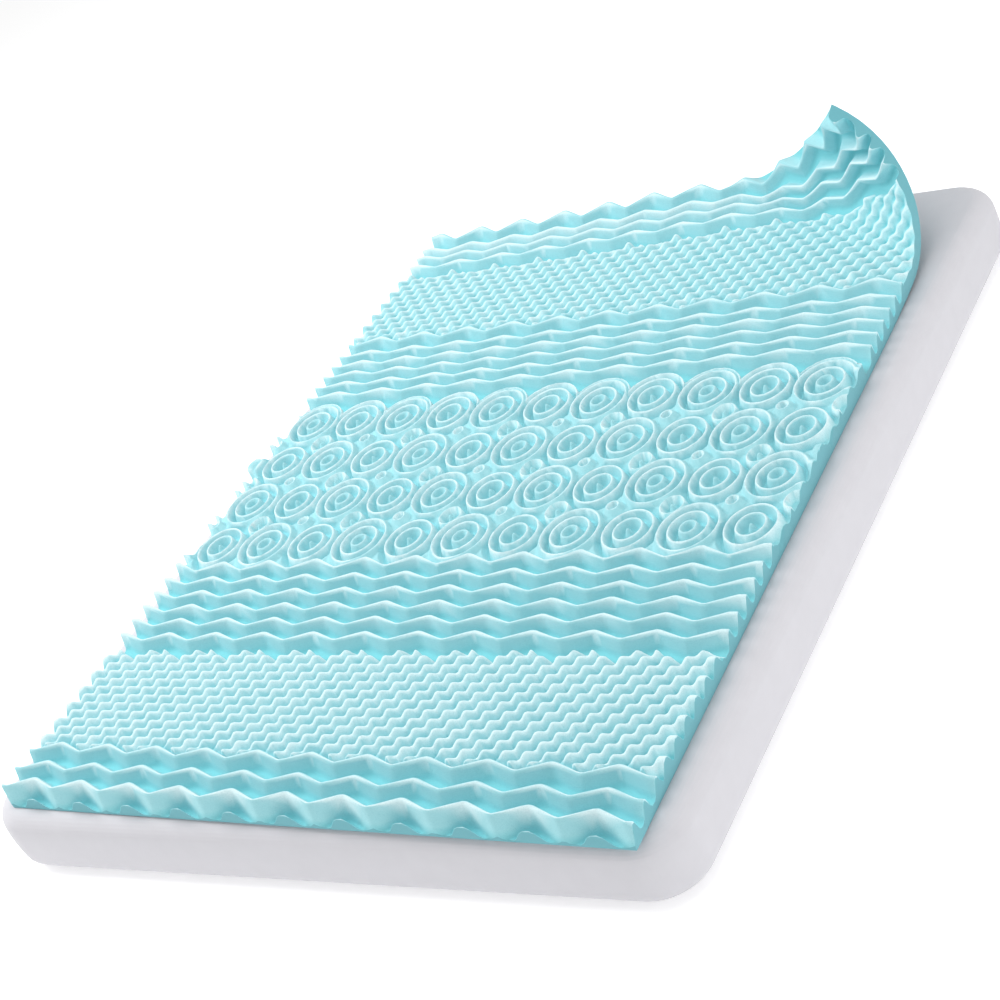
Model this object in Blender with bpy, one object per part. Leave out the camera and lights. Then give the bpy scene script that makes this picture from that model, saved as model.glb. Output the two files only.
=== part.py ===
"""Convoluted foam mattress topper with one rolled-back corner, lying on a plain mattress.

Frame: metres, +Z up, +Y from the foot of the bed to its head, origin below the middle of the
whole thing, on the plane of the mattress's underside. Both pieces are made in sheet
coordinates (x across from the topper's left edge, y from its foot edge, z from the mattress's
underside) and then moved to that origin together. The topper's upper face is laid out flat, as
crest, foot and ring lines over seven zones, and each point gets its height from relief_height.
The head right corner is then rolled back by a bending map.
"""

from collections import namedtuple
from math import ceil, cos, floor, hypot, pi, sin

import bmesh
import bpy
from mathutils import Vector
from mathutils.geometry import delaunay_2d_cdt

# Topper sheet
WIDTH = 1.50
LENGTH = 2.05
CREST = 0.055
RIDGE_DEPTH = 0.037
RING_DEPTH = 0.024
FOOT_EDGE_DEPTH = 0.051
SIDE_FLARE = 0.008

SHEET_CORNERS = ((0.0, 0.0), (WIDTH, 0.0), (WIDTH, LENGTH), (0.0, LENGTH))
MERGE = 0.0015

# Lattice that all zones share
PITCH_X = 0.1356
PITCH_Y = 0.1491
RING_X0 = 0.0867
RING_Y0 = 0.7586
RING_ROWS = 4
ZIGZAG_LAG = 0.0128
FLANK = 0.0225
RING_FLANK = 0.010
RIDGE_POWER = 3.4
FOOT_SHARE = 0.62
CORNER_SHARE = 0.07

# Zigzag crests, foot to head: mean distance from the foot edge, half swing, side shift of the
# peaks in pitches, lag of the peaks, and the width of the flank beyond and before the crest,
# or None where the valley is shared with the next crest
Crest = namedtuple("Crest", "mean swing phase lag beyond before")
FOOT_TAB_TOP = 0.52
FOOT_TAB_FULLNESS = 3.0
CRESTS = (
    Crest(-0.0155, 0.0120, 0.0, ZIGZAG_LAG, None, FLANK),
    Crest(0.0245, 0.0120, 0.0, ZIGZAG_LAG, None, None),
    Crest(0.0730, 0.0110, 0.0, ZIGZAG_LAG, None, None),
    Crest(0.1255, 0.0115, 0.0, ZIGZAG_LAG, FLANK, None),
    Crest(0.4567, 0.0113, 0.5, ZIGZAG_LAG, None, FLANK),
    Crest(0.5022, 0.0113, 0.5, ZIGZAG_LAG, None, None),
    Crest(0.5477, 0.0113, 0.5, ZIGZAG_LAG, None, None),
    Crest(0.5932, 0.0113, 0.5, ZIGZAG_LAG, None, None),
    Crest(0.6387, 0.0113, 0.5, ZIGZAG_LAG, None, None),
    Crest(0.6860, 0.0140, 0.5, ZIGZAG_LAG, RING_FLANK, None),
    Crest(1.3255, 0.0092, 0.0, 0.0, None, FLANK),
    Crest(1.3689, 0.0092, 0.0, 0.0, None, None),
    Crest(1.4123, 0.0092, 0.0, 0.0, None, None),
    Crest(1.4557, 0.0092, 0.0, 0.0, None, None),
    Crest(1.4991, 0.0092, 0.0, 0.0, None, None),
    Crest(1.5520, 0.0150, 0.0, 0.0, FLANK, None),
    Crest(1.8907, 0.0100, 0.5, 0.0, None, FLANK),
    Crest(1.9318, 0.0100, 0.5, 0.0, None, None),
    Crest(1.9680, 0.0100, 0.5, 0.0, None, None),
    Crest(2.0240, 0.0180, 0.5, 0.0, FLANK, None),
)
FOOT_CREST = CRESTS[1]
RING_CREST = CRESTS[9]

# Zones of small staggered waves: first row, row pitch, rows, side shift of the even rows'
# peaks in wave pitches, and the crests before and beyond the zone
Waves = namedtuple("Waves", "first pitch rows shift before beyond")
WAVES = (
    Waves(0.1570, 0.02395, 12, 0.2168, CRESTS[3], CRESTS[4]),
    Waves(1.5730, 0.02545, 12, 0.0, CRESTS[15], CRESTS[16]),
)
WAVE_X = PITCH_X / 3
WAVE_POWER = 0.75
WAVE_DEPTH = 0.85
JOIN_NEAR = 0.012
JOIN_FAR = (0.034, 0.046)

# Concentric rings: radius of each wall or groove in pitches, and the sides of its polygon
Ring = namedtuple("Ring", "radius sides")
RINGS = (Ring(0.124, 6), Ring(0.223, 8), Ring(0.307, 8), Ring(0.395, 10), Ring(0.468, 12))
GAP_RADIUS = 0.10
GAP_PIT = 0.10
GAP_MOUND = 0.90
SCALLOP = 0.53
SCALLOP_HALF = 0.045
SCALLOP_TURNS = (0.75, 0.625, 0.5, 0.375, 0.25)

# Points of the foot and head edges, as shares of each zigzag period
FOOT_EDGE_SHARES = (-0.3, -0.175, 0.0, 0.175, 0.3, 0.4, 0.6)
HEAD_EDGE_SHARES = (0.0, 0.25, 0.5, 0.75)

# Rolled-back corner: it runs round a level cylinder that lies across the corner, and it is
# thinner there. The edges beside it lift a little with the distance from another line.
ROLL_TURN = 0.9701
ROLL_START = 2.1781
ROLL_RADIUS = 0.1467
ROLL_THIN = 0.6571
ROLL_THIN_LEAD = 0.09
ROLL_THIN_REACH = 0.20
LIFT_TURN = 1.2682
LIFT_START = 1.8000
LIFT_RATE = 0.2414

# Underside: steps of its edge and of its inner points, away from the roll and near it, and how
# far the inner points stay from the edge
BASE_STEP = 0.10
BASE_INNER_STEP = 0.20
BASE_ROLL_STEP = 0.0225
BASE_INNER_ROLL_STEP = 0.045
BASE_CLEAR = 0.027
BASE_MERGE = 0.00001
FACE_GAP = 0.0003

# Mattress
MATTRESS_LEFT = -0.080
MATTRESS_RIGHT = 1.550
MATTRESS_FOOT = -0.034
MATTRESS_HEAD = 2.035
MATTRESS_HEAD_WIDER = 0.022
MATTRESS_FOOT_SKEW = 0.040
MATTRESS_HEIGHT = 0.160
MATTRESS_CORNER = 0.140
MATTRESS_TOP_ROUND = 0.040
MATTRESS_BASE_ROUND = 0.040
ROUND_STEPS = 5
CORNER_STEPS = 7

FOAM = ("foam", (0.36, 0.74, 0.79, 1.0), 0.85)
KNIT = ("knit", (0.80, 0.80, 0.82, 1.0), 0.80)


# --- Relief of the upper face -------------------------------------------------


def triangle_wave(turns):
    """Rises and falls between -1 and 1, with its peak at whole turns and cut-off corners."""
    part = abs((turns + 0.5) % 1.0 - 0.5)
    part = min(max(part, CORNER_SHARE), 0.5 - CORNER_SHARE)
    return 1.0 - 4.0 * part


def crest_y(crest, x):
    """Distance of a crest line from the foot edge, at x."""
    return crest.mean + crest.swing * triangle_wave((x - RING_X0 + crest.lag) / PITCH_X - crest.phase)


def ridges_share(x, y):
    """Height share that the zigzag ridges give a point."""
    best = 0.0
    lines = [crest_y(crest, x) for crest in CRESTS]
    for index, (crest, here) in enumerate(zip(CRESTS, lines)):
        if y >= here:
            flank = crest.beyond or (lines[index + 1] - here) / 2
        else:
            flank = crest.before or (here - lines[index - 1]) / 2
        if abs(y - here) < flank:
            share = cos(pi / 2 * (y - here) / flank) ** RIDGE_POWER
            if index == 0:
                share = FOOT_TAB_TOP * min(FOOT_TAB_FULLNESS * share, 1.0)
            best = max(best, share)
    return best


def waves_share(zone, x, y):
    """Height share that one zone of staggered waves gives a point."""
    behind = (y - crest_y(zone.before, x)) / JOIN_NEAR
    ahead = (crest_y(zone.beyond, x) - y - JOIN_FAR[0]) / (JOIN_FAR[1] - JOIN_FAR[0])
    mask = min(max(behind, 0.0), max(ahead, 0.0), 1.0)
    sideways = cos(2 * pi * ((x - RING_X0) / WAVE_X - zone.shift))
    along = cos(pi * (y - zone.first) / zone.pitch)
    return mask * (1 - WAVE_DEPTH * (1 - ((1 + sideways * along) / 2) ** WAVE_POWER))


def ring_wave(radius):
    """From 1 to -1 and back at each ring's radius, starting with 1 in the middle."""
    inner, turns = 0.0, 0.0
    for ring in RINGS:
        turns += min(max((radius - inner) / (ring.radius - inner), 0.0), 1.0)
        inner = ring.radius
    return cos(pi * turns)


def rings_share(x, y):
    """Height share of the ring cells, by turns with a tooth and a hole in their middles.

    The gaps between four cells are by turns a pit and a mound.
    """
    column = round((x - RING_X0) / PITCH_X)
    row = min(max(round((y - RING_Y0) / PITCH_Y), 0), RING_ROWS - 1)
    away_x = (x - RING_X0) / PITCH_X - column
    away_y = (y - RING_Y0) / PITCH_Y - row
    radius = hypot(away_x, away_y)
    outer = RINGS[-1].radius
    if row == RING_ROWS - 1 and away_y > 0 and radius > outer:
        return max(0.0, 1.0 - abs(radius - SCALLOP) / SCALLOP_HALF)
    if hypot(abs(away_x) - 0.5, abs(away_y) - 0.5) < GAP_RADIUS:
        gap = floor((x - RING_X0) / PITCH_X) + floor((y - RING_Y0) / PITCH_Y)
        return GAP_MOUND if gap % 2 else GAP_PIT
    sign = 1.0 if (column + row) % 2 == 0 else -1.0
    return 0.5 + 0.5 * sign * ring_wave(radius)


def relief_height(x, y):
    """Height of the upper face above the topper's underside, before the corner is rolled back."""
    share = max(ridges_share(x, y), *(waves_share(zone, x, y) for zone in WAVES))
    rings_end = RING_Y0 + (RING_ROWS - 1 + SCALLOP + SCALLOP_HALF) * PITCH_Y
    if crest_y(RING_CREST, x) < y < rings_end:
        share = max(share, 1.0 - RING_DEPTH / RIDGE_DEPTH * (1.0 - rings_share(x, y)))
    depth = FOOT_EDGE_DEPTH if y < crest_y(FOOT_CREST, x) else RIDGE_DEPTH
    return CREST - depth * (1.0 - share)


# --- Rolled-back corner ---------------------------------------------------------


def eased(share):
    """A share from 0 to 1, eased in and out."""
    share = min(max(share, 0.0), 1.0)
    return share * share * (3 - 2 * share)


def rolled(x, y, z):
    """Where a point of the flat sheet goes once the corner is rolled back."""
    to_x, to_y = cos(ROLL_TURN), sin(ROLL_TURN)
    arc = x * to_x + y * to_y - ROLL_START
    z *= 1 - (1 - ROLL_THIN) * eased((arc + ROLL_THIN_LEAD) / ROLL_THIN_REACH)
    lift = max(0.0, x * cos(LIFT_TURN) + y * sin(LIFT_TURN) - LIFT_START)
    if arc > 0:
        slope = arc / ROLL_RADIUS
        shift = (ROLL_RADIUS - z) * sin(slope) - arc
        x, y = x + shift * to_x, y + shift * to_y
        z = ROLL_RADIUS - (ROLL_RADIUS - z) * cos(slope)
    return x, y, z + LIFT_RATE * lift ** 2


def placed(x, y, z):
    """A topper point on the mattress."""
    x, y, z = rolled(x, y, z)
    return x, y, z + MATTRESS_HEIGHT + FACE_GAP


# --- Plan of the upper face -------------------------------------------------------


def across(shares, phase, lag):
    """x of the points that lie at the given shares of each zigzag period."""
    start = RING_X0 - lag + phase * PITCH_X
    found = []
    for period in range(-2, ceil(WIDTH / PITCH_X) + 1):
        found += [start + (period + share) * PITCH_X for share in shares]
    return sorted(found)


def zigzag_lines():
    """Crests of the zigzag zones, and the two lines where each valley meets its flanks."""
    corner = (-CORNER_SHARE, CORNER_SHARE, 0.5 - CORNER_SHARE, 0.5 + CORNER_SHARE)
    lines = []
    for index, crest in enumerate(CRESTS):
        on_crest = across(corner, crest.phase, crest.lag)
        in_valley = across((0.0, 0.5), crest.phase, crest.lag)
        lines.append([(x, crest_y(crest, x)) for x in on_crest])
        for side, flank in ((1, crest.beyond), (-1, crest.before)):
            if flank:
                lines.append([(x, crest_y(crest, x) + side * FOOT_SHARE * flank) for x in in_valley])
        if crest.beyond:
            continue
        after = CRESTS[index + 1]
        for share in (FOOT_SHARE / 2, 1 - FOOT_SHARE / 2):
            lines.append([
                (x, (1 - share) * crest_y(crest, x) + share * crest_y(after, x)) for x in in_valley
            ])
    return lines


def wave_lines(zone):
    """Zigzag lines of a wave zone: from peak to peak and from pit to pit in turn."""
    start = RING_X0 + (zone.shift - 2) * WAVE_X
    lines = []
    for row in range(zone.rows - 1):
        line = []
        for column in range(ceil(2 * WIDTH / WAVE_X) + 4):
            x = start + column / 2 * WAVE_X
            y = zone.first + (row + column % 2) * zone.pitch
            if crest_y(zone.beyond, x) - y > JOIN_FAR[0]:
                line.append((x, y))
            else:
                lines.append(line)
                line = []
        lines.append(line)
    return lines


def ring_polygons():
    """Each ring wall or groove as a closed polygon, and the middles of the cells and gaps."""
    polygons, middles = [], []
    for row in range(RING_ROWS):
        for column in range(-1, ceil(WIDTH / PITCH_X)):
            x, y = RING_X0 + column * PITCH_X, RING_Y0 + row * PITCH_Y
            middles.append((x, y))
            if row < RING_ROWS - 1:
                middles.append((x + PITCH_X / 2, y + PITCH_Y / 2))
            for radius, sides in RINGS:
                turns = [2 * pi * side / sides for side in range(sides)]
                polygons.append([
                    (x + radius * PITCH_X * cos(turn), y + radius * PITCH_Y * sin(turn))
                    for turn in turns
                ])
    return polygons, middles


def scallop_line():
    """The wavy crest that closes the last row of rings."""
    line = []
    for column in range(-1, ceil(WIDTH / PITCH_X) + 1):
        for turn in SCALLOP_TURNS:
            x = RING_X0 + (column + SCALLOP * cos(pi * turn)) * PITCH_X
            y = RING_Y0 + (RING_ROWS - 1 + SCALLOP * sin(pi * turn)) * PITCH_Y
            line.append((x, y))
    return sorted(line)


def inside(point):
    return 0.0 <= point[0] <= WIDTH and 0.0 <= point[1] <= LENGTH


def edge_crossing(start, end):
    """Where a line from inside the sheet to outside it crosses the edge."""
    share = 1.0
    for axis, size in ((0, WIDTH), (1, LENGTH)):
        step = end[axis] - start[axis]
        if end[axis] < 0.0:
            share = min(share, -start[axis] / step)
        elif end[axis] > size:
            share = min(share, (size - start[axis]) / step)
    x, y = (a + (b - a) * share for a, b in zip(start, end))
    return min(max(x, 0.0), WIDTH), min(max(y, 0.0), LENGTH)


class Plan:
    """Points and lines of a face in plan, to be triangulated."""

    def __init__(self, outline):
        self.points = list(outline)
        count = len(self.points)
        self.edges = [(index, (index + 1) % count) for index in range(count)]

    def add_point(self, point):
        self.points.append(point)
        return len(self.points) - 1

    def add_line(self, line, closed=False):
        """Adds a line, cut off where it leaves the sheet."""
        pairs = list(zip(line, line[1:] + line[:1])) if closed else list(zip(line, line[1:]))
        known = {}
        for start, end in pairs:
            if not inside(start) and not inside(end):
                continue
            ends = []
            for here, other in ((start, end), (end, start)):
                if inside(here):
                    if here not in known:
                        known[here] = self.add_point(here)
                    ends.append(known[here])
                else:
                    ends.append(self.add_point(edge_crossing(other, here)))
            self.edges.append(tuple(ends))

    def triangles(self, merge):
        """(points, triangles) of the face."""
        flat = [Vector(point) for point in self.points]
        found = delaunay_2d_cdt(flat, self.edges, [], 0, merge)
        return [tuple(point) for point in found[0]], [tuple(face) for face in found[2]]


# --- Meshes ---------------------------------------------------------------------


def boundary_sides(points, triangles):
    """Point indexes along each edge of the sheet, in order: foot, right, head, left."""
    directed = {(face[k], face[(k + 1) % 3]) for face in triangles for k in range(3)}
    after = {start: end for start, end in directed if (end, start) not in directed}
    corners = [
        min(after, key=lambda index: hypot(points[index][0] - x, points[index][1] - y))
        for x, y in SHEET_CORNERS
    ]
    sides = []
    for start, end in zip(corners, corners[1:] + corners[:1]):
        side = [start]
        while side[-1] != end:
            side.append(after[side[-1]])
        sides.append(side)
    return sides


def base_side(start, end):
    """Points along one edge of the underside, closer together near the rolled-back corner."""
    length = hypot(end[0] - start[0], end[1] - start[1])
    found, place = [], 0.0
    while place < length - BASE_CLEAR:
        x = start[0] + (end[0] - start[0]) * place / length
        y = start[1] + (end[1] - start[1]) * place / length
        found.append((x, y))
        place += BASE_ROLL_STEP if near_roll(x, y) else BASE_STEP
    return found


def near_roll(x, y):
    """Whether the sheet is rolled about here."""
    return x * cos(ROLL_TURN) + y * sin(ROLL_TURN) > ROLL_START - BASE_STEP


def base_grid():
    """Inner points of the underside, closer together under the rolled-back corner."""
    found = []
    for step, wants_roll in ((BASE_INNER_STEP, False), (BASE_INNER_ROLL_STEP, True)):
        for row in range(1, int(LENGTH / step) + 1):
            for column in range(1, int(WIDTH / step) + 1):
                x, y = column * step, row * step
                clear = min(x, y, WIDTH - x, LENGTH - y) > BASE_CLEAR
                if clear and near_roll(x, y) == wants_roll:
                    found.append((x, y))
    return found


def zipped(upper, lower, upper_at, lower_at):
    """Triangles between two rows of points that run the same way, by their places along it."""
    faces = []
    high, low = 0, 0
    while high < len(upper) - 1 or low < len(lower) - 1:
        more_high = high < len(upper) - 1
        more_low = low < len(lower) - 1
        if more_high and (not more_low or upper_at[high + 1] <= lower_at[low + 1]):
            faces.append((upper[high + 1], upper[high], lower[low]))
            high += 1
        else:
            faces.append((upper[high], lower[low], lower[low + 1]))
            low += 1
    return faces


def face_plan():
    """The triangulated upper face in plan."""
    foot_edge = [(x, 0.0) for x in across(FOOT_EDGE_SHARES, 0.0, ZIGZAG_LAG) if 0.0 < x < WIDTH]
    head_edge = [(x, LENGTH) for x in across(HEAD_EDGE_SHARES, 0.5, 0.0) if 0.0 < x < WIDTH]
    near_left, near_right, far_right, far_left = SHEET_CORNERS
    plan = Plan([near_left, *foot_edge, near_right, far_right, *reversed(head_edge), far_left])
    lines = [scallop_line(), *zigzag_lines()]
    for zone in WAVES:
        lines += wave_lines(zone)
    for line in lines:
        plan.add_line(line)
    polygons, middles = ring_polygons()
    for polygon in polygons:
        plan.add_line(polygon, closed=True)
    for point in filter(inside, middles):
        plan.add_point(point)
    return plan.triangles(MERGE)


def flared(x, y, z):
    """Side faces lean outwards with height, as cut foam does when it lies down."""
    share = z / CREST
    if x < MERGE:
        return x - SIDE_FLARE * share, y, z
    if x > WIDTH - MERGE:
        return x + SIDE_FLARE * share, y, z
    return x, y, z


def topper_mesh():
    """The topper as one closed mesh."""
    points, faces = face_plan()
    sides = boundary_sides(points, faces)
    corner_pairs = zip(SHEET_CORNERS, SHEET_CORNERS[1:] + SHEET_CORNERS[:1])
    base_sides = [base_side(start, end) for start, end in corner_pairs]
    base_outline = [point for side in base_sides for point in side]
    base = Plan(base_outline)
    for point in base_grid():
        base.add_point(point)
    base_points, base_faces = base.triangles(BASE_MERGE)

    shape = bmesh.new()
    top = [shape.verts.new(placed(*flared(x, y, relief_height(x, y)))) for x, y in points]
    low = [shape.verts.new(placed(x, y, 0.0)) for x, y in base_points]
    for face in faces:
        shape.faces.new([top[index] for index in face])
    for face in base_faces:
        shape.faces.new([low[index] for index in reversed(face)])
    for number, side in enumerate(sides):
        count = sum(len(found) for found in base_sides[:number])
        row = [(count + step) % len(base_outline) for step in range(len(base_sides[number]) + 1)]
        axis, sign = ((0, 1), (1, 1), (0, -1), (1, -1))[number]
        top_at = [sign * points[index][axis] for index in side]
        low_at = [sign * base_points[index][axis] for index in row]
        for face in zipped([top[index] for index in side], [low[index] for index in row], top_at, low_at):
            shape.faces.new(face)
    return shape


def skewed(x, y):
    """A plan point of the mattress, a little wider at its head, its foot face not quite square."""
    wider = MATTRESS_HEAD_WIDER * y / LENGTH * x / WIDTH
    back = MATTRESS_FOOT_SKEW * x / WIDTH * (1 - y / LENGTH)
    return x + wider, y + back


def rounded_outline(inset):
    """Plan of the mattress, drawn in by an inset, with its four upright corners rounded."""
    radius = MATTRESS_CORNER - inset
    left, right = MATTRESS_LEFT + inset + radius, MATTRESS_RIGHT - inset - radius
    foot, head = MATTRESS_FOOT + inset + radius, MATTRESS_HEAD - inset - radius
    found = []
    for quarter, (x, y) in enumerate(((right, head), (left, head), (left, foot), (right, foot))):
        for step in range(CORNER_STEPS + 1):
            turn = (quarter + step / CORNER_STEPS) * pi / 2
            found.append(skewed(x + radius * cos(turn), y + radius * sin(turn)))
    return found


def mattress_levels():
    """(height, inset) of each level of the mattress's side, from its underside up."""
    levels = []
    for step in range(ROUND_STEPS + 1):
        turn = step / ROUND_STEPS * pi / 2
        levels.append((MATTRESS_BASE_ROUND * (1 - cos(turn)), MATTRESS_BASE_ROUND * (1 - sin(turn))))
    for step in range(ROUND_STEPS, -1, -1):
        turn = step / ROUND_STEPS * pi / 2
        height = MATTRESS_HEIGHT - MATTRESS_TOP_ROUND * (1 - cos(turn))
        levels.append((height, MATTRESS_TOP_ROUND * (1 - sin(turn))))
    return levels


def mattress_mesh():
    """The mattress as one closed mesh, flat above and below."""
    shape = bmesh.new()
    rings = []
    for height, inset in mattress_levels():
        rings.append([shape.verts.new((x, y, height)) for x, y in rounded_outline(inset)])
    for lower, upper in zip(rings, rings[1:]):
        count = len(lower)
        for index in range(count):
            after = (index + 1) % count
            shape.faces.new((lower[index], lower[after], upper[after], upper[index]))
    shape.faces.new(list(reversed(rings[0])))
    shape.faces.new(rings[-1])
    return shape


# --- Objects ----------------------------------------------------------------------


def material(name, colour, roughness):
    """A plain material with the piece's colour and roughness."""
    made = bpy.data.materials.new(name)
    made.use_nodes = True
    shader = made.node_tree.nodes["Principled BSDF"]
    shader.inputs["Base Color"].default_value = colour
    shader.inputs["Roughness"].default_value = roughness
    shader.inputs["Metallic"].default_value = 0.0
    made.diffuse_color = colour
    return made


def add_object(name, shape, finish, origin):
    """Puts a mesh in the scene under its name, with its material."""
    bmesh.ops.translate(shape, verts=shape.verts, vec=-origin)
    mesh = bpy.data.meshes.new(name)
    shape.to_mesh(mesh)
    shape.free()
    made = bpy.data.objects.new(name, mesh)
    mesh.materials.append(material(*finish))
    bpy.context.scene.collection.objects.link(made)
    return made


def middle(vertices):
    """Middle of the plan of a box round the vertices, at the height of the underside."""
    spans = [[vertex.co[axis] for vertex in vertices] for axis in (0, 1)]
    return Vector([(min(span) + max(span)) / 2 for span in spans] + [0.0])


def main():
    for old in list(bpy.data.objects):
        bpy.data.objects.remove(old)
    mattress, topper = mattress_mesh(), topper_mesh()
    origin = middle([*mattress.verts, *topper.verts])
    add_object("mattress", mattress, KNIT, origin)
    add_object("topper", topper, FOAM, origin)


main()
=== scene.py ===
"""Convoluted foam mattress topper with one rolled-back corner, lying on a plain mattress.

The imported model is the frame. The topper and the mattress are modelled again in fine detail in
the space that their nodes hold, dressed as open-cell foam and as knitted ticking, and shown on
a pale floor in soft studio light.
"""

from __future__ import annotations

import logging
from dataclasses import dataclass, field
from enum import Enum
from math import cos, pi, radians, sin

import bpy
import numpy as np
from mathutils import Euler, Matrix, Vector

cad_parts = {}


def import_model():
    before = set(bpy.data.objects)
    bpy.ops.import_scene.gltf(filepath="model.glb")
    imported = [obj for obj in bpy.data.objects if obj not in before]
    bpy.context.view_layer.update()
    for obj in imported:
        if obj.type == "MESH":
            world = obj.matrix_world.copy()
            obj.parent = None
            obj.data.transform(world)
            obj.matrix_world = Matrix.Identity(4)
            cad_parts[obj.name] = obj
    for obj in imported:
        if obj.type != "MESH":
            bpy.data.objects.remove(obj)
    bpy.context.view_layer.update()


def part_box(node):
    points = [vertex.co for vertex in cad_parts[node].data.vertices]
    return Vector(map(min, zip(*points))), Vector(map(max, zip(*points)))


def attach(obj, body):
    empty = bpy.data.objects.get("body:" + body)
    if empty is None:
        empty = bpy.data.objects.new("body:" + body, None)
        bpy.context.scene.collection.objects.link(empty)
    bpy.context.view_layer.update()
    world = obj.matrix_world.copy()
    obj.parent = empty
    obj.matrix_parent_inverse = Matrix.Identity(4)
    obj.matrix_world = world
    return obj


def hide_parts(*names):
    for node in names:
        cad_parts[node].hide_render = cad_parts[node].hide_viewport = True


LOG = logging.getLogger("topper")
WHITE = (1.0, 1.0, 1.0, 1.0)
SMOOTH_FOAM = radians(72)
SMOOTH_KNIT = radians(40)

# The "rise" of the underside, so low that a side face takes the painted side shade from close below its
# upper edge.
BASE_RISE = -20.0

# Two places closer than this count as one.
NEAR = 1e-5

# How far the zigzags of the foot half lie to the left of the columns of rings.
LAG = 0.0128

# How far a crest's side reaches into a zone of waves or rings.
FLANK = 0.0225

# Which crests are the first whole one, and the ones before and beyond the rings.
FIRST_WHOLE = 1
RINGS_AFTER = 9
RINGS_BEFORE = 10


# --- Shader building --------------------------------------------------------------


class Shade:
    """A number socket of a node tree, so that shader maths reads as Python expressions."""

    def __init__(self, nodes: Nodes, socket: bpy.types.NodeSocket) -> None:
        """Wraps an output socket of the tree that the nodes build."""
        self.nodes = nodes
        self.socket = socket

    def _with(self, operation: str, first: object, second: object) -> Shade:
        """Adds one Math node, an operation on two values or sockets."""
        return self.nodes.add("ShaderNodeMath", {"operation": operation}, {0: first, 1: second})[0]

    def __add__(self, other: object) -> Shade:
        """Sum."""
        return self._with("ADD", self, other)

    def __radd__(self, other: object) -> Shade:
        """Sum, with the number first."""
        return self._with("ADD", other, self)

    def __sub__(self, other: object) -> Shade:
        """Difference."""
        return self._with("SUBTRACT", self, other)

    def __rsub__(self, other: object) -> Shade:
        """Difference, with the number first."""
        return self._with("SUBTRACT", other, self)

    def __mul__(self, other: object) -> Shade:
        """Product."""
        return self._with("MULTIPLY", self, other)

    def __rmul__(self, other: object) -> Shade:
        """Product, with the number first."""
        return self._with("MULTIPLY", other, self)


class Nodes:
    """Builds one material's node tree."""

    def __init__(self, name: str) -> None:
        """Makes the material.

        Args:
            name: The material's name.
        """
        self.material = bpy.data.materials.new(name)
        self.material.use_nodes = True
        self.tree = self.material.node_tree
        self.shader = self.tree.nodes["Principled BSDF"]

    def put(self, socket: bpy.types.NodeSocket, value: object) -> None:
        """Sets a socket's value, or links it.

        Args:
            socket: The input socket.
            value: A number, a colour, or the output that feeds it.
        """
        if isinstance(value, Shade):
            self.tree.links.new(value.socket, socket)
        else:
            socket.default_value = value

    def add(self, kind: str, settings: dict, inputs: dict) -> list[Shade]:
        """Adds a node, its settings first and then its inputs.

        Args:
            kind: The node's type.
            settings: Its properties, with a ramp's stops under "stops".
            inputs: The values or links of its sockets, by name or number.

        Returns:
            All the node's outputs.
        """
        node = self.tree.nodes.new(kind)
        for name, value in settings.items():
            if name == "stops":
                self._stops(node.color_ramp, value)
            else:
                setattr(node, name, value)
        for key, value in inputs.items():
            self.put(node.inputs[key], value)
        return [Shade(self, socket) for socket in node.outputs]

    @staticmethod
    def _stops(ramp: bpy.types.ColorRamp, stops: list[tuple[float, tuple]]) -> None:
        """Sets a ramp's stops.

        Args:
            ramp: The ramp.
            stops: Each stop's place and colour.
        """
        while len(ramp.elements) < len(stops):
            ramp.elements.new(0.5)
        for element, (place, colour) in zip(ramp.elements, stops):
            element.position = place
            element.color = colour

    def coordinates(self, scale: float) -> Shade:
        """Object coordinates times a scale.

        Args:
            scale: What they are multiplied by, in turns per metre.

        Returns:
            The coordinates.
        """
        place = self.add("ShaderNodeTexCoord", {}, {})[3]
        settings = {"operation": "SCALE"}
        return self.add("ShaderNodeVectorMath", settings, {0: place, "Scale": scale})[0]

    def mix(self, share: object, first: object, second: object) -> Shade:
        """Mixes two colours, with a share of the second one."""
        settings = {"data_type": "RGBA", "blend_type": "MIX"}
        return self.add("ShaderNodeMix", settings, {0: share, 6: first, 7: second})[2]

    def noise(self, scale: float, detail: float = 2.0) -> Shade:
        """Noise all over the object, at a scale in turns per metre."""
        inputs = {"Vector": self.coordinates(scale), "Detail": detail}
        return self.add("ShaderNodeTexNoise", {}, inputs)[0]

    def surface(self, colour: object, roughness: float, sheen: float = 0.0) -> None:
        """Sets how the material looks, apart from its grain.

        Args:
            colour: Its colour.
            roughness: Its roughness.
            sheen: Its sheen.
        """
        self.put(self.shader.inputs["Base Color"], colour)
        self.put(self.shader.inputs["Roughness"], roughness)
        self.put(self.shader.inputs["Sheen Weight"], sheen)

    def grain(self, height: Shade, depth: float, strength: float) -> None:
        """Gives the surface a fine grain, by its height, its depth and its strength."""
        inputs = {"Height": height, "Distance": depth, "Strength": strength}
        self.put(self.shader.inputs["Normal"], self.add("ShaderNodeBump", {}, inputs)[0])


def colour_of(code: str) -> tuple[float, float, float, float]:
    """A screen colour as scene-linear numbers.

    Args:
        code: Six hexadecimal digits.

    Returns:
        Red, green, blue and alpha.
    """
    parts = [int(code[place : place + 2], 16) / 255 for place in (0, 2, 4)]
    linear = [part / 12.92 if part < 0.04045 else ((part + 0.055) / 1.055) ** 2.4 for part in parts]
    return (*linear, 1.0)


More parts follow.
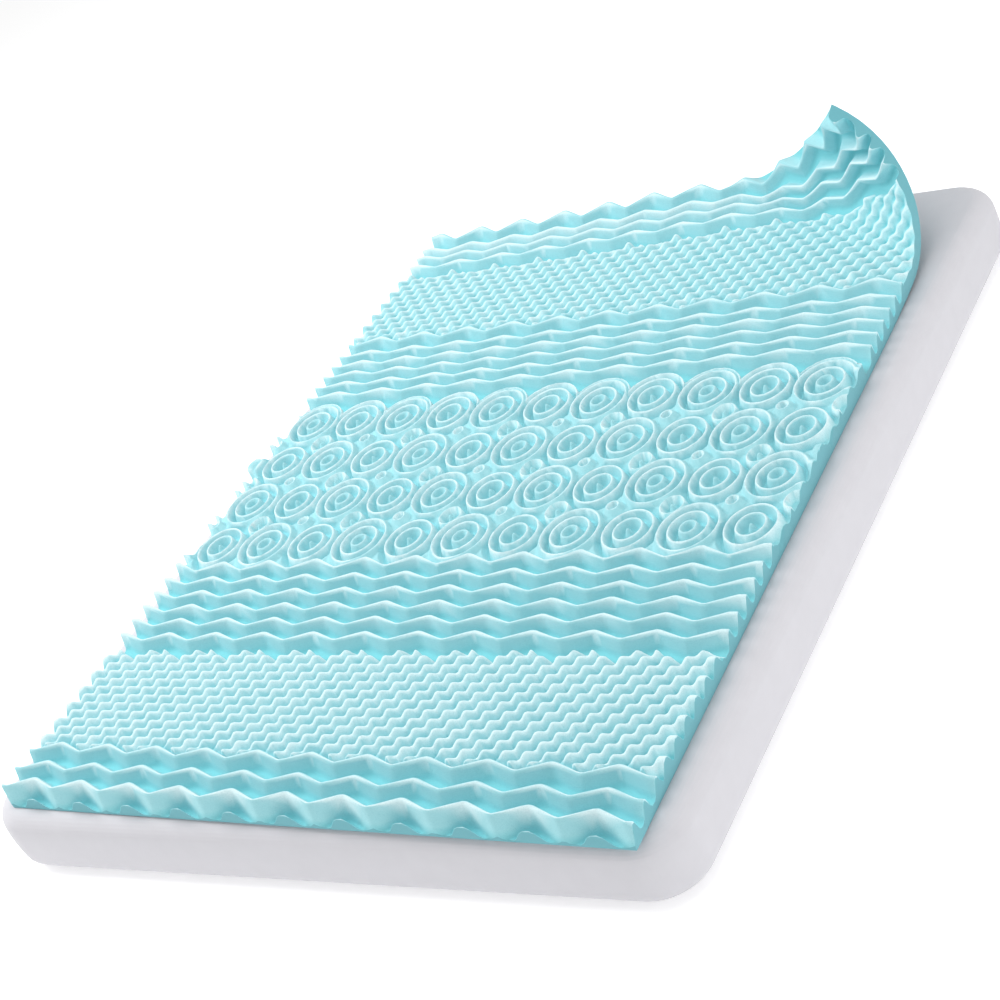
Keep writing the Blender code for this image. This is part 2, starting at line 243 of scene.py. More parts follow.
@dataclass(frozen=True)
class FoamFinish:
    """Open-cell foam: painted shade deepens the colour in the valleys and on the side faces, a painted
    highlight makes the crests pale, and fine pores lie all over.
    """

    # Painted shade of the side faces and the underside; also the dark tone of the random speckles.
    side_shade_and_speckle: str = "6cb0ba"
    # Painted shade by height: deepest in the valleys, paler up the flanks and the upper slopes.
    pit: str = "7bccd4"
    flank: str = "9fdae1"
    upper: str = "a1d7de"
    # Painted highlight along the crests.
    crest: str = "dff5f8"
    pore_scale: float = 230.0
    mottle_scale: float = 14.0
    mottle_detail: float = 3.0
    pore_depth: float = 0.0006
    mottle_share: float = 0.25
    pore_share: float = 4.0
    speckle_start: float = 0.05
    speckle_dark: float = 0.6
    flank_at: float = 0.35
    upper_at: float = 0.9
    roughness: float = 0.92
    sheen: float = 0.15
    cell_grain: float = 0.7
    pore_grain: float = 0.6
    grain: float = 0.5

    def material(self) -> bpy.types.Material:
        """Builds the material.

        Returns:
            The foam material, which reads the point attributes "rise", for its painted shade in the
            valleys and on the sides, and "line", for its painted crest highlight.
        """
        nodes = Nodes("foam")
        rise = nodes.add("ShaderNodeAttribute", {"attribute_name": "rise"}, {})[2]
        # Painted shade: the colour deepens down each zone's valleys, by the attribute "rise".
        stops = [
            (0.0, colour_of(self.pit)),
            (self.flank_at, colour_of(self.flank)),
            (self.upper_at, colour_of(self.upper)),
        ]
        face = nodes.add("ShaderNodeValToRGB", {"stops": stops}, {0: rise})[0]
        # Painted highlight: the pale crest colour along the crests, by the attribute "line".
        line = nodes.add("ShaderNodeAttribute", {"attribute_name": "line"}, {})[2]
        highlighted = nodes.mix(line, face, colour_of(self.crest))
        # Painted shade on the side faces and the underside, where "rise" is below zero.
        side = nodes.add("ShaderNodeClamp", {}, {0: rise * -1.0})[0]
        base = nodes.mix(side, highlighted, colour_of(self.side_shade_and_speckle))
        mottle = nodes.noise(self.mottle_scale, self.mottle_detail)
        pores = nodes.noise(self.pore_scale)
        cells = nodes.add(
            "ShaderNodeTexVoronoi", {"feature": "F1"}, {"Vector": nodes.coordinates(self.pore_scale)}
        )[0]
        # The random dark speckles of pores take a share of the same dark colour.
        dark = nodes.mix(self.speckle_dark, base, colour_of(self.side_shade_and_speckle))
        uneven = (mottle - 0.5) * self.mottle_share + (pores - 0.5) * self.pore_share
        speckle = uneven + self.speckle_start
        clamped = nodes.add("ShaderNodeClamp", {}, {0: speckle})[0]
        nodes.surface(nodes.mix(clamped, base, dark), self.roughness, self.sheen)
        nodes.grain(cells * self.cell_grain + pores * self.pore_grain, self.pore_depth, self.grain)
        return nodes.material


@dataclass(frozen=True)
class KnitFinish:
    """Plain white knitted ticking: rows of fine stitches and a faint unevenness."""

    light: str = "d4d3d8"
    shade: str = "c9c8cd"
    stitch: float = 520.0
    bands: float = 10.0
    warp: float = 1.0
    uneven: float = 5.0
    uneven_share: float = 0.5
    fuzz_share: float = 0.3
    roughness: float = 0.85
    sheen: float = 0.1
    depth: float = 0.0004
    row_grain: float = 0.6
    fuzz_grain: float = 0.8
    grain: float = 0.35

    def material(self) -> bpy.types.Material:
        """Builds the material.

        Returns:
            The knit material.
        """
        nodes = Nodes("knit")
        place = nodes.coordinates(self.stitch / self.bands)
        rows = nodes.add(
            "ShaderNodeTexWave",
            {"bands_direction": "DIAGONAL"},
            {"Vector": place, "Scale": self.bands, "Distortion": self.warp},
        )[1]
        fuzz = nodes.noise(self.stitch)
        broad = nodes.noise(self.uneven)
        share = broad * self.uneven_share + fuzz * self.fuzz_share
        colour = nodes.mix(share, colour_of(self.light), colour_of(self.shade))
        nodes.surface(colour, self.roughness, self.sheen)
        nodes.grain(rows * self.row_grain + fuzz * self.fuzz_grain, self.depth, self.grain)
        return nodes.material


# --- Mesh helpers -----------------------------------------------------------------


def deselect_all() -> None:
    """Leaves no object selected or active in edit mode."""
    if bpy.context.object and bpy.context.object.mode != "OBJECT":
        bpy.ops.object.mode_set(mode="OBJECT")
    bpy.ops.object.select_all(action="DESELECT")


def points_of(piece: bpy.types.Object) -> np.ndarray:
    """A mesh's points.

    Args:
        piece: The mesh object.

    Returns:
        One row for each point.
    """
    found = np.zeros(len(piece.data.vertices) * 3, np.float32)
    piece.data.vertices.foreach_get("co", found)
    return found.reshape(-1, 3).astype(float)


def move_points(piece: bpy.types.Object, points: np.ndarray) -> None:
    """Puts a mesh's points in new places, one row for each point."""
    piece.data.vertices.foreach_set("co", points.astype(np.float32).ravel())
    piece.data.update()


def smoothed(share: np.ndarray) -> np.ndarray:
    """Eases shares in and out, cut off at 0 and 1."""
    share = np.clip(share, 0.0, 1.0)
    return share * share * (3 - 2 * share)


# --- Relief of the topper's face ------------------------------------------------------


@dataclass(frozen=True)
class Crest:
    """One zigzag crest line across the topper.

    Attributes:
        mean: Its mean distance from the foot edge.
        swing: How far it zigzags to either side of the mean.
        phase: Its shift across, in pitches of the rings.
        lag: Its shift to the left.
        beyond: How far its far side reaches, or None for halfway to the next.
        before: How far its near side reaches, or None for halfway to the one before.
        top: Its height share.
        fullness: How full its section is.
    """

    mean: float
    swing: float
    phase: float
    lag: float
    beyond: float | None = None
    before: float | None = None
    top: float = 1.0
    fullness: float = 1.0


@dataclass(frozen=True)
class Waves:
    """One zone of small staggered waves, between two crests.

    Attributes:
        first: Distance of the first row from the foot edge.
        pitch: The space between two rows.
        shift: Its shift across, in waves.
        before: Which crest lies before it.
        beyond: Which crest lies beyond it.
        depth: Depth of its valleys, as a share of the ridges' depth.
        tint: The depth that its painted valley shade takes as full.
    """

    first: float
    pitch: float
    shift: float
    before: int
    beyond: int
    depth: float
    tint: float


def even_crests(
    first: float, pitch: float, count: int, swing: float, phase: float, lag: float
) -> tuple[Crest, ...]:
    """Evenly spaced crests, the first of them at the far end of a zone of waves or rings.

    Args:
        first: Mean place of the first one, whose near side reaches into the zone.
        pitch: The space between two crests.
        count: How many there are.
        swing: As for a crest.
        phase: As for a crest.
        lag: As for a crest.

    Returns:
        The crests, from the foot end on.
    """
    means = [round(first + pitch * row, 4) for row in range(count)]
    near_sides = [FLANK] + [None] * (count - 1)
    return tuple(Crest(mean, swing, phase, lag, None, side) for mean, side in zip(means, near_sides))


@dataclass
class Relief:
    """Heights of the profiled face over the flat sheet.

    Places are measured from the sheet's corner at the foot's left. A height share is 0 in the
    deepest valleys and 1 on the crests. Radii inside a ring cell are in pitches.
    """

    width: float = 1.50
    length: float = 2.05
    crest: float = 0.055
    ridge_depth: float = 0.037
    ring_depth: float = 0.025
    foot_depth: float = 0.051
    pitch: tuple[float, float] = (0.1356, 0.1491)
    ring_start: tuple[float, float] = (0.0867, 0.7586)
    ring_rows: int = 4
    rings: tuple[float, ...] = (0.124, 0.223, 0.307, 0.395, 0.468)
    ring_power: float = 1.3
    tail: float = 0.09
    tail_levels: tuple[float, float] = (0.5, 0.6)
    ring_border: float = 0.05
    ring_edge: float = 0.024
    teeth: tuple[float, ...] = (0.703, 0.730, 0.838, 0.871, 0.963, 0.997, 1.132, 1.166, 1.269)
    tooth_half: float = 0.012
    tab: tuple[float, float] = (1.058, 0.034)
    # The depth that the rings' painted valley shade takes as full.
    ring_tint: float = 0.84
    scallop: float = 0.53
    rim: float = 0.06
    # The forms between the rings: radii from the middle out, and the height share at each.
    pit: tuple = ((0.0, 0.03, 0.075, 0.12, 0.18), (0.85, 0.7, 0.0, 0.0, 0.85))
    mound: tuple = ((0.0, 0.04, 0.085, 0.11, 0.17), (0.0, 0.1, 1.0, 1.0, 0.5))
    gap_fade: float = 0.05
    ridge_power: float = 3.4
    waves_across: int = 3
    wave_power: float = 0.75
    wave_slant: float = 0.64
    wave_ease: float = 0.012
    wave_end: float = 0.034
    corner_round: float = 0.95
    crest_reach: float = 0.036
    # The camera's level direction of view over the sheet: the waves' painted highlight follows how
    # sharply the face bends along it.
    slant: tuple[float, float] = (-0.665, 0.746)
    # Where the painted crest highlight begins, and over what span it grows, by how sharply the face
    # bends: for ridges, waves and rings.
    ridge_highlight: tuple[float, float] = (330.0, 260.0)
    wave_highlight: tuple[float, float] = (115.0, 130.0)
    ring_highlight: tuple[float, float] = (450.0, 550.0)
    waves: tuple[Waves, ...] = (
        Waves(0.1570, 0.02395, 0.2168, 3, 4, 0.90, 0.75),
        Waves(1.5730, 0.02545, 0.0, 15, 16, 0.70, 0.50),
    )
    crests: tuple[Crest, ...] = (
        Crest(-0.0155, 0.0120, 0.0, LAG, None, FLANK, 0.50, 2.5),
        Crest(0.0245, 0.0120, 0.0, LAG),
        Crest(0.0730, 0.0110, 0.0, LAG),
        Crest(0.1255, 0.0115, 0.0, LAG, FLANK),
        *even_crests(0.4567, 0.0455, 5, 0.0113, 0.5, LAG),
        Crest(0.6860, 0.0140, 0.5, LAG, 0.010),
        *even_crests(1.3255, 0.0434, 5, 0.0092, 0.0, 0.0),
        Crest(1.5520, 0.0150, 0.0, 0.0, FLANK),
        Crest(1.8907, 0.0100, 0.5, 0.0, None, FLANK),
        Crest(1.9318, 0.0100, 0.5, 0.0),
        Crest(1.9680, 0.0100, 0.5, 0.0),
        Crest(2.0240, 0.0180, 0.5, 0.0, 0.040),
    )

    def crest_y(self, line: Crest, x: np.ndarray) -> np.ndarray:
        """Where a crest runs: a zigzag with rounded corners.

        Args:
            line: The crest.
            x: Places across the sheet.

        Returns:
            Its distance from the foot edge at each place.
        """
        turns = (x - self.ring_start[0] + line.lag) / self.pitch[0] - line.phase
        zigzag = np.arcsin(self.corner_round * np.cos(2 * pi * turns)) / np.arcsin(self.corner_round)
        return line.mean + line.swing * zigzag

    def ridges(self, x: np.ndarray, y: np.ndarray) -> np.ndarray:
        """Height share of the zigzag ridges.

        Args:
            x: Places across the sheet.
            y: Places along the sheet.

        Returns:
            The share at each place.
        """
        best = np.zeros_like(x)
        lines = [self.crest_y(line, x) for line in self.crests]
        for index, (line, here) in enumerate(zip(self.crests, lines)):
            beyond = line.beyond or (lines[index + 1] - here) / 2
            before = line.before or (here - lines[index - 1]) / 2
            away = (y - here) / np.where(y >= here, beyond, before)
            share = np.cos(pi / 2 * np.clip(np.abs(away), 0, 1)) ** self.ridge_power
            share = line.top * (1.0 - (1.0 - share) ** line.fullness)
            best = np.maximum(best, share)
        return best

    def wave_mask(self, zone: Waves, x: np.ndarray, y: np.ndarray) -> np.ndarray:
        """Where one zone of small waves lies.

        Args:
            zone: The zone.
            x: Places across the sheet.
            y: Places along the sheet.

        Returns:
            1 inside the zone, easing to 0 at its borders.
        """
        behind = (y - self.crest_y(self.crests[zone.before], x)) / self.wave_ease
        ahead = (self.crest_y(self.crests[zone.beyond], x) - y - self.wave_end) / self.wave_ease
        return smoothed(np.minimum(behind, ahead))

    def small_waves(self, zone: Waves, x: np.ndarray, y: np.ndarray) -> np.ndarray:
        """Height share of one zone of small waves.

        Args:
            zone: The zone.
            x: Places across the sheet.
            y: Places along the sheet.

        Returns:
            The share at each place.
        """
        wave = self.pitch[0] / self.waves_across
        sideways = 2 * pi * ((x - self.ring_start[0]) / wave - zone.shift)
        along = pi * (y - zone.first) / zone.pitch
        one_way, other_way = np.cos(sideways - along), np.cos(sideways + along)
        form = self.wave_slant * one_way + (1 - self.wave_slant) * other_way
        hollow = 1 - ((1 + form) / 2) ** self.wave_power
        return self.wave_mask(zone, x, y) * (1 - zone.depth * hollow)

    def ring(self, radius: np.ndarray, hollow: np.ndarray) -> np.ndarray:
        """Height share of one cell's concentric rings.

        Args:
            radius: Distances from the cell's middle, in pitches.
            hollow: Where the cell has a hole in its middle; elsewhere it has a tooth there.

        Returns:
            The share at each place.
        """
        turns, inner = np.zeros_like(radius), 0.0
        for ring in self.rings:
            turns += np.clip((radius - inner) / (ring - inner), 0, 1)
            inner = ring
        share = (0.5 + 0.5 * np.cos(pi * (turns + hollow))) ** self.ring_power
        tail = smoothed((radius - inner) / self.tail)
        outer = np.where(hollow, 1.0 - self.tail_levels[0] * tail, self.tail_levels[1] * tail)
        return np.where(radius > inner, outer, share)

    def in_pitches(self, x: np.ndarray, y: np.ndarray) -> tuple[np.ndarray, np.ndarray]:
        """Places across and along, in pitches from the middle of the first ring."""
        return (x - self.ring_start[0]) / self.pitch[0], (y - self.ring_start[1]) / self.pitch[1]

    def ring_cells(self, x: np.ndarray, y: np.ndarray) -> np.ndarray:
        """Height share of all the rings and of the forms between them.

        Args:
            x: Places across the sheet.
            y: Places along the sheet.

        Returns:
            The share at each place.
        """
        across, along = self.in_pitches(x, y)
        column, row = np.floor(across), np.floor(along)
        beside = smoothed((across - column - 0.5) / self.ring_border + 0.5)
        beyond = smoothed((along - row - 0.5) / self.ring_border + 0.5)
        share = np.zeros_like(x)
        for right, across_share in ((0, 1 - beside), (1, beside)):
            for up, along_share in ((0, 1 - beyond), (1, beyond)):
                cell_row = np.clip(row + up, 0, self.ring_rows - 1)
                radius = np.hypot(across - column - right, along - cell_row)
                hollow = (column + right + cell_row) % 2 == 1
                share += across_share * along_share * self.ring(radius, hollow)
        return self.with_gaps(share, across, along)

    def with_gaps(self, share: np.ndarray, across: np.ndarray, along: np.ndarray) -> np.ndarray:
        """Puts a form in each gap between four rings: by turns a pit with a tooth, a mound with a hole.

        Args:
            share: The height share of the rings.
            across: Places across, in pitches from the first ring.
            along: Places along, in pitches from the first ring.

        Returns:
            The height share with the gaps' forms.
        """
        column, row = np.floor(across), np.floor(along)
        away = np.hypot(across - column - 0.5, along - row - 0.5)
        inside = (row >= 0) & (row <= self.ring_rows - 2)
        is_pit = (column + row) % 2 == 0
        for wanted, (places, levels) in ((True, self.pit), (False, self.mound)):
            form = np.interp(away, places, levels)
            fade = smoothed((places[-1] + self.gap_fade - away) / self.gap_fade)
            share = share + (form - share) * np.where(inside & (is_pit == wanted), fade, 0.0)
        return share

    def rings_face(self, x: np.ndarray, y: np.ndarray) -> np.ndarray:
        """Height share of the ring zone, which ends in a scalloped rim round its last rings.

        Args:
            x: Places across the sheet.
            y: Places along the sheet.

        Returns:
            The share at each place, 0 outside the zone.
        """
        across, along = self.in_pitches(x, y)
        past = along - (self.ring_rows - 1)
        radius = np.where(past > 0, np.hypot(across - np.round(across), past), 0.0)
        rim = smoothed(1.0 - np.abs(radius - self.scallop) / self.rim)
        level = np.maximum(self.ring_cells(x, y), rim)
        zone = smoothed((self.scallop + self.rim - radius) / self.rim)
        at_side = smoothed(1.0 - x / self.ring_edge)
        level += at_side * (self.side_teeth(y) - level)
        depth = self.ring_depth / self.ridge_depth
        return zone * (1.0 - (depth + (1.0 - depth) * at_side) * (1.0 - level))

    def side_teeth(self, y: np.ndarray) -> np.ndarray:
        """Height share of the upright teeth, and of one broad tab, along the ring zone's left edge.

        Args:
            y: Places along the sheet.

        Returns:
            The share at each place.
        """
        middle, half = self.tab
        level = np.clip((half - np.abs(y - middle)) / self.tooth_half, 0.0, 1.0)
        for tooth in self.teeth:
            level = np.maximum(level, 1.0 - np.abs(y - tooth) / self.tooth_half)
        return level

    def share(self, x: np.ndarray, y: np.ndarray) -> np.ndarray:
        """Height share of the whole face: 0 in the deepest valleys, 1 on the crests.

        Args:
            x: Places across the sheet.
            y: Places along the sheet.

        Returns:
            The share at each place.
        """
        found = self.ridges(x, y)
        for zone in self.waves:
            found = np.maximum(found, self.small_waves(zone, x, y))
        begun = y > self.crest_y(self.crests[RINGS_AFTER], x)
        rings = np.where(begun, self.rings_face(x, y), 0.0)
        return np.maximum(found, rings)

    def depth_share(self, x: np.ndarray, y: np.ndarray, share: np.ndarray) -> np.ndarray:
        """Height share of each place within its own zone, which the foam's painted valley shade follows.

        Args:
            x: Places across the sheet.
            y: Places along the sheet.
            share: The height share of the whole face.

        Returns:
            The share, 0 in each zone's own valleys.
        """
        begun = y > self.crest_y(self.crests[RINGS_AFTER], x)
        in_rings = begun & (y < self.crests[RINGS_BEFORE].mean - self.crest_reach)
        depth = np.where(in_rings, self.ring_tint, 1.0)
        for zone in self.waves:
            depth -= (1.0 - zone.tint) * self.wave_mask(zone, x, y)
        return np.clip(1.0 - (1.0 - share) / depth, 0.0, 1.0)

    def height(self, x: np.ndarray, y: np.ndarray, share: np.ndarray) -> np.ndarray:
        """Height of the face above the topper's underside, from the share at each place."""
        at_foot = y < self.crest_y(self.crests[FIRST_WHOLE], x)
        return self.crest - np.where(at_foot, self.foot_depth, self.ridge_depth) * (1.0 - share)

    def along_crests(self, x: np.ndarray, y: np.ndarray) -> np.ndarray:
        """Moves a grid's points so that its rows run along the zigzag crests.

        Args:
            x: Places across the sheet.
            y: Places along the sheet.

        Returns:
            The new places along the sheet; those on the sheet's edges stay.
        """
        moved = y.copy()
        for line in self.crests[FIRST_WHOLE:]:
            reach = min(self.crest_reach, line.mean, self.length - line.mean)
            near = np.clip(1 - np.abs(y - line.mean) / reach, 0, 1)
            moved += near * (self.crest_y(line, x) - line.mean)
        return moved

    def crest_highlight(self, share: np.ndarray) -> np.ndarray:
        """How strongly each point of a full grid lies on a crest, which sets its painted highlight.

        Args:
            share: Height shares, one row of the array for each row of the grid.

        Returns:
            Shares of the painted highlight, from 0 where the face is hollow or even to 1 on the crests.
        """
        step = self.width / (share.shape[1] - 1)
        along, across = np.gradient(share * self.ridge_depth, step)
        along_along, along_across = np.gradient(along, step)
        across_across = np.gradient(across, step)[1]
        spread = np.hypot((along_along - across_across) / 2, along_across)
        sharpest = spread - (along_along + across_across) / 2
        slant_x, slant_y = self.slant
        slanting = -(
            across_across * slant_x**2 + along_along * slant_y**2 + 2 * along_across * slant_x * slant_y
        )
        rows = np.linspace(0, self.length, share.shape[0])[:, None]
        found = smoothed((sharpest - self.ridge_highlight[0]) / self.ridge_highlight[1])
        zones = [(zone.before, zone.beyond, slanting, self.wave_highlight) for zone in self.waves]
        zones.append((RINGS_AFTER, RINGS_BEFORE, sharpest, self.ring_highlight))
        for before, beyond, measure, (start, span) in zones:
            first = self.crests[before].mean + self.crest_reach / 2
            last = self.crests[beyond].mean - self.crest_reach / 2
            inside = (rows > first) & (rows < last)
            found = np.where(inside, smoothed((measure - start) / span), found)
        return found


@dataclass
class Roll:
    """The rolled-back corner at the head's right, and the slight lift of the edge beside it."""

    turn: float = 0.9701
    start: float = 2.1781
    radius: float = 0.1467
    thin: float = 0.6571
    thin_lead: float = 0.09
    thin_reach: float = 0.20
    lift_turn: float = 1.2682
    lift_start: float = 1.8000
    lift_rate: float = 0.2414

    def bent(self, sheet: np.ndarray) -> np.ndarray:
        """Rolls points of the flat sheet back, round a level cylinder across the corner.

        Args:
            sheet: Points of the flat sheet.

        Returns:
            Where the points go.
        """
        to_x, to_y = cos(self.turn), sin(self.turn)
        x, y, full = sheet.T
        arc = x * to_x + y * to_y - self.start
        z = full * (1 - (1 - self.thin) * smoothed((arc + self.thin_lead) / self.thin_reach))
        arc = np.maximum(arc, 0.0)
        slope = arc / self.radius
        shift = (self.radius - z) * np.sin(slope) - arc
        height = self.radius - (self.radius - z) * np.cos(slope)
        lift = np.maximum(x * cos(self.lift_turn) + y * sin(self.lift_turn) - self.lift_start, 0.0)
        height += self.lift_rate * lift**2
        return np.stack([x + shift * to_x, y + shift * to_y, height], axis=1)


class Detail(Enum):
    """How finely the topper is modelled: the grid's step, and the triangles that are kept."""

    FULL = (0.0020, 195000)
    DRAFT = (0.0050, 0)


@dataclass
class Topper:
    """The foam topper: one slab, its profiled face up, one corner rolled back."""

    relief: Relief = field(default_factory=Relief)
    roll: Roll = field(default_factory=Roll)
    finish: FoamFinish = field(default_factory=FoamFinish)
    flare: float = 0.008
    tab_half: float = 0.026
    tab_reach: float = 0.014
    tab_fade: float = 0.03
    base_step: float = 0.02

    def origin(self) -> Vector:
        """Where the sheet's near left corner lies in the frame, at the topper's underside."""
        low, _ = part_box("topper")
        return Vector((low.x + self.flare, low.y, low.z))

    def blank(self, step: float) -> bpy.types.Object:
        """A flat slab: a fine grid over a coarse one, their borders bridged.

        Args:
            step: The fine grid's step.

        Returns:
            The slab, its upper grid at height 1 and its lower one at height 0.
        """
        grids = []
        for height, spacing in ((1.0, step), (0.0, self.base_step)):
            deselect_all()
            bpy.ops.mesh.primitive_grid_add(
                x_subdivisions=round(self.relief.width / spacing),
                y_subdivisions=round(self.relief.length / spacing),
                size=1,
                location=(0.5, 0.5, height),
                rotation=(0, pi if height == 0 else 0, 0),
            )
            bpy.ops.object.transform_apply()
            grids.append(bpy.context.object)
        for grid in grids:
            grid.select_set(True)
        bpy.context.view_layer.objects.active = grids[0]
        bpy.ops.object.join()
        bpy.ops.object.mode_set(mode="EDIT")
        bpy.ops.mesh.select_mode(type="EDGE")
        bpy.ops.mesh.select_all(action="DESELECT")
        bpy.ops.mesh.select_non_manifold()
        bpy.ops.mesh.bridge_edge_loops()
        bpy.ops.object.mode_set(mode="OBJECT")
        return bpy.context.object

    def shape(self, slab: bpy.types.Object) -> None:
        """Cuts the relief into the slab, flares its sides and rolls the corner back.

        Args:
            slab: The flat slab.
        """
        flat = points_of(slab)
        x = flat[:, 0] * self.relief.width
        y = self.relief.along_crests(x, flat[:, 1] * self.relief.length)
        share = self.relief.share(x, y)
        depth = self.relief.depth_share(x, y, share)
        top = flat[:, 2] > 0.5
        z = np.where(top, self.relief.height(x, y, share), 0.0)
        # The painted crest highlight, kept as the point attribute "line".
        line = np.zeros_like(share)
        row = np.round(flat[top, 1], 6)
        order = np.flatnonzero(top)[np.lexsort((flat[top, 0], row))]
        rows = len(np.unique(row))
        line[order] = self.relief.crest_highlight(share[order].reshape(rows, -1)).ravel()
        # The attribute "rise" sets the painted valley shade on the face and, below zero, the painted side
        # shade on the sides and underside.
        for name, values in (("rise", np.where(top, depth, BASE_RISE)), ("line", line)):
            layer = slab.data.attributes.new(name, "FLOAT", "POINT")
            layer.data.foreach_set("value", values.astype(np.float32))
        edge = np.where(flat[:, 0] < NEAR, -1.0, np.where(flat[:, 0] > 1 - NEAR, 1.0, 0.0))
        beside = np.exp(-(((y - self.relief.tab[0]) / self.tab_half) ** 2))
        tab = self.tab_reach * beside * np.clip(1 - x / self.tab_fade, 0, 1)
        sheet = np.stack([x + (edge * self.flare - tab) * z / self.relief.crest, y, z], axis=1)
        bent = self.roll.bent(sheet)
        move_points(slab, bent + np.array(self.origin()))

    def build(self, detail: Detail) -> bpy.types.Object:
        """Models and dresses the topper.

        Args:
            detail: How finely it is modelled.

        Returns:
            The finished piece.
        """
        step, triangles = detail.value
        piece = self.blank(step)
        piece.name = "foam_topper"
        self.shape(piece)
        if triangles:
            thin = piece.modifiers.new("thin", "DECIMATE")
            thin.ratio = triangles / (2 * len(piece.data.polygons))
            bpy.ops.object.modifier_apply(modifier="thin")
        bpy.ops.object.shade_smooth_by_angle(angle=SMOOTH_FOAM)
        piece.data.materials.append(self.finish.material())
        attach(piece, "root")
        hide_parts("topper")
        return piece


@dataclass
class Mattress:
    """The plain mattress below: flat above and below, its sides a little full."""

    left: float = -0.080
    right: float = 1.550
    foot: float = -0.034
    head: float = 2.035
    head_wider: float = 0.022
    foot_skew: float = 0.040
    corner: float = 0.100
    top_round: float = 0.040
    base_round: float = 0.040
    bulge: float = 0.006
    squareness: int = 8
    corner_steps: int = 14
    edge_steps: int = 8
    cuts: int = 3
    finish: KnitFinish = field(default_factory=KnitFinish)

    def bevelled(self, height: float) -> bpy.types.Object:
        """A box with rounded upright corners and rounded upper and lower edges.

        Args:
            height: The box's height.

        Returns:
            The box, in sheet coordinates.
        """
        deselect_all()
        bpy.ops.mesh.primitive_cube_add(
            size=1,
            location=((self.left + self.right) / 2, (self.foot + self.head) / 2, height / 2),
            scale=(self.right - self.left, self.head - self.foot, height),
        )
        bpy.ops.object.transform_apply()
        piece = bpy.context.object
        bpy.ops.object.mode_set(mode="EDIT")
        bpy.ops.mesh.select_mode(type="EDGE")
        self._select_edges(piece, lambda a, b: abs(a.z - b.z) > height / 2)
        bpy.ops.mesh.bevel(offset=self.corner, offset_type="OFFSET", segments=self.corner_steps)
        for level, offset in ((height, self.top_round), (0.0, self.base_round)):
            self._select_edges(piece, lambda a, b, z=level: abs(a.z - z) + abs(b.z - z) < NEAR)
            bpy.ops.mesh.bevel(offset=offset, offset_type="OFFSET", segments=self.edge_steps)
        bpy.ops.object.mode_set(mode="OBJECT")
        return piece

    @staticmethod
    def _select_edges(piece: bpy.types.Object, wanted: object) -> None:
        """Selects the edges that a test names, in edit mode.

        Args:
            piece: The object in edit mode.
            wanted: A test of an edge's two ends.
        """
        bpy.ops.mesh.select_all(action="DESELECT")
        bpy.ops.object.mode_set(mode="OBJECT")
        points = piece.data.vertices
        for edge in piece.data.edges:
            edge.select = wanted(*(points[index].co for index in edge.vertices))
        bpy.ops.object.mode_set(mode="EDIT")

    def build(self, corner: Vector) -> bpy.types.Object:
        """Models and dresses the mattress.

        Args:
            corner: Where the topper's sheet starts in the frame.

        Returns:
            The finished piece.
        """
        low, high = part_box("mattress")
        height = high.z - low.z
        piece = self.bevelled(height)
        piece.name = "knit_mattress"
        bpy.ops.object.mode_set(mode="EDIT")
        bpy.ops.mesh.select_all(action="SELECT")
        bpy.ops.mesh.subdivide(number_cuts=self.cuts)
        bpy.ops.object.mode_set(mode="OBJECT")
        points = points_of(piece)
        x, y, z = points.T
        across, along = x / Relief.width, y / Relief.length
        wider = self.head_wider * along * across
        back = self.foot_skew * across * (1 - along)
        middle = np.array([(self.left + self.right) / 2, (self.foot + self.head) / 2])
        away = points[:, :2] - middle
        full = self.bulge * np.sin(pi * z / height)
        half = np.array([self.right - self.left, self.head - self.foot]) / 2
        side = np.clip(np.abs(away) / half, 0, 1) ** self.squareness * np.sign(away)
        plan = np.stack([x + wider, y + back], axis=1) + side * full[:, None]
        moved = np.column_stack([plan, z])
        move_points(piece, moved + np.array((corner.x, corner.y, low.z)))
        bpy.ops.object.shade_smooth_by_angle(angle=SMOOTH_KNIT)
        piece.data.materials.append(self.finish.material())
        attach(piece, "root")
        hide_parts("mattress")
        return piece


# --- Stage ----------------------------------------------------------------------------


@dataclass(frozen=True)
class Lamp:
    """One square lamp, aimed at the middle of the frame."""

    name: str
    place: tuple[float, float, float]
    size: float
    power: float


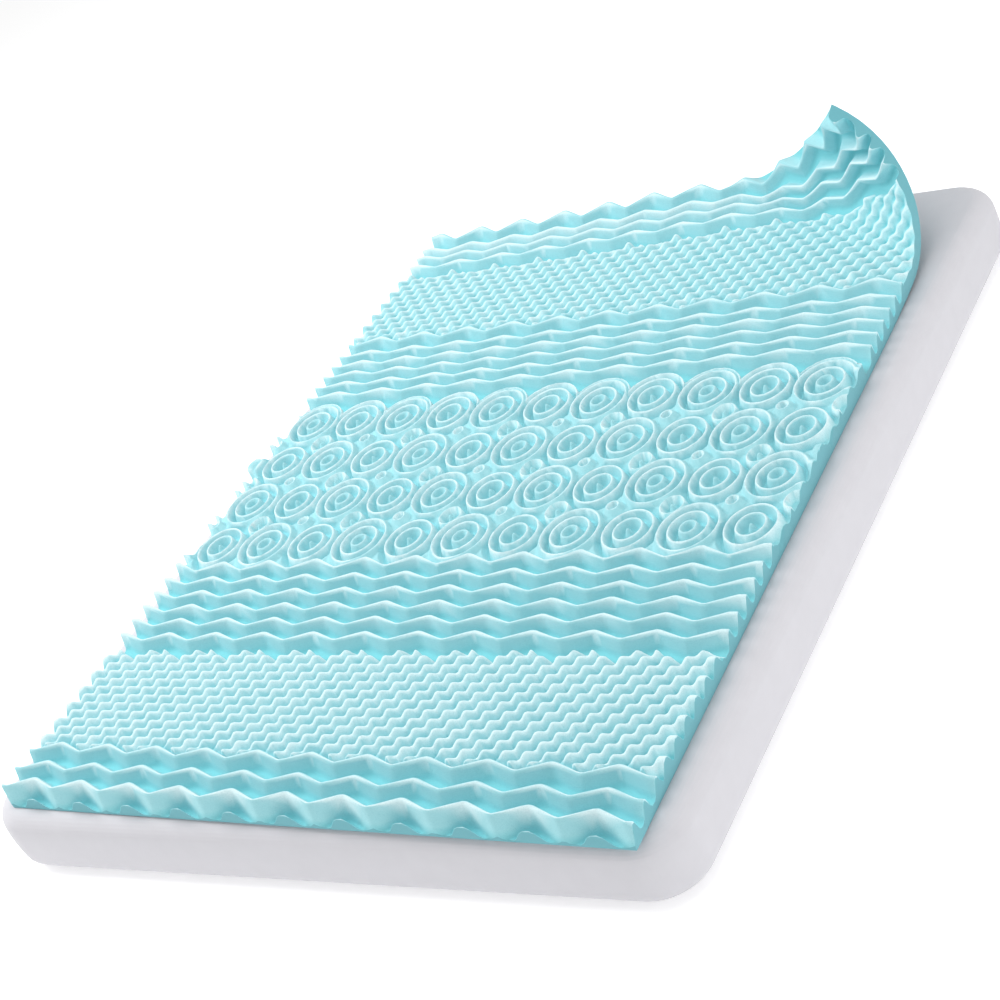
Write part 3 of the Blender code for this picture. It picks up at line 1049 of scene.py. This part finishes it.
@dataclass
class Studio:
    """Pale floor, soft light and the camera."""

    azimuth: float = 41.704
    elevation: float = 30.474
    tilt: float = -27.344
    sensor: float = 36.0
    lens: float = 70.474
    eye: tuple[float, float, float] = (3.1684, -1.7760, 2.1401)
    floor_size: float = 400.0
    floor_drop: float = 0.0005
    floor_white: float = 0.95
    floor_rough: float = 0.9
    floor_glow: float = 0.32
    room: float = 0.61
    lamps: tuple[Lamp, ...] = (
        Lamp("key", (-3.8, -0.4, 3.4), 2.0, 138.0),
        Lamp("top", (0.3, -0.2, 4.5), 3.0, 80.0),
        Lamp("side", (4.5, -0.3, 0.9), 1.6, 32.0),
    )

    def floor(self) -> None:
        """Adds the pale floor."""
        deselect_all()
        bpy.ops.mesh.primitive_plane_add(size=self.floor_size, location=(0, 0, -self.floor_drop))
        floor = bpy.context.object
        floor.name = "studio_floor"
        nodes = Nodes("floor")
        nodes.surface((*[self.floor_white] * 3, 1.0), self.floor_rough)
        nodes.put(nodes.shader.inputs["Emission Color"], WHITE)
        nodes.put(nodes.shader.inputs["Emission Strength"], self.floor_glow)
        floor.data.materials.append(nodes.material)

    def light(self) -> None:
        """Adds the soft studio light: a bright room and the lamps."""
        world = bpy.data.worlds.new("studio")
        bpy.context.scene.world = world
        world.use_nodes = True
        background = world.node_tree.nodes["Background"]
        background.inputs["Color"].default_value = WHITE
        background.inputs["Strength"].default_value = self.room
        for lamp in self.lamps:
            light = bpy.data.lights.new(lamp.name, "AREA")
            light.energy = lamp.power
            light.size = lamp.size
            made = bpy.data.objects.new(lamp.name, light)
            made.location = lamp.place
            made.rotation_euler = Vector(lamp.place).to_track_quat("Z", "Y").to_euler()
            bpy.context.scene.collection.objects.link(made)

    def camera(self, corner: Vector) -> None:
        """Adds the camera at the photograph's angle.

        Args:
            corner: Where the topper's sheet starts in the frame.
        """
        data = bpy.data.cameras.new("camera")
        data.sensor_width = self.sensor
        data.lens = self.lens
        made = bpy.data.objects.new("camera", data)
        made.location = corner + Vector(self.eye)
        level = Euler((radians(90 - self.elevation), 0, radians(self.azimuth))).to_matrix()
        made.rotation_euler = (level @ Euler((0, 0, radians(self.tilt))).to_matrix()).to_euler()
        bpy.context.scene.collection.objects.link(made)
        bpy.context.scene.camera = made

    def build(self, corner: Vector) -> None:
        """Sets the stage.

        Args:
            corner: Where the topper's sheet starts in the frame.
        """
        self.floor()
        self.light()
        self.camera(corner)
        bpy.context.scene.view_settings.view_transform = "Standard"


def main() -> None:
    """Builds the pieces and the stage."""
    logging.basicConfig(level=logging.INFO, format="%(name)s: %(message)s")
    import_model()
    topper = Topper()
    corner = topper.origin()
    Studio().build(corner)
    mattress = Mattress().build(corner)
    LOG.info("%s: %d faces", mattress.name, len(mattress.data.polygons))
    foam = topper.build(Detail.FULL)
    LOG.info("%s: %d faces", foam.name, len(foam.data.polygons))


if __name__ == "__main__":
    main()
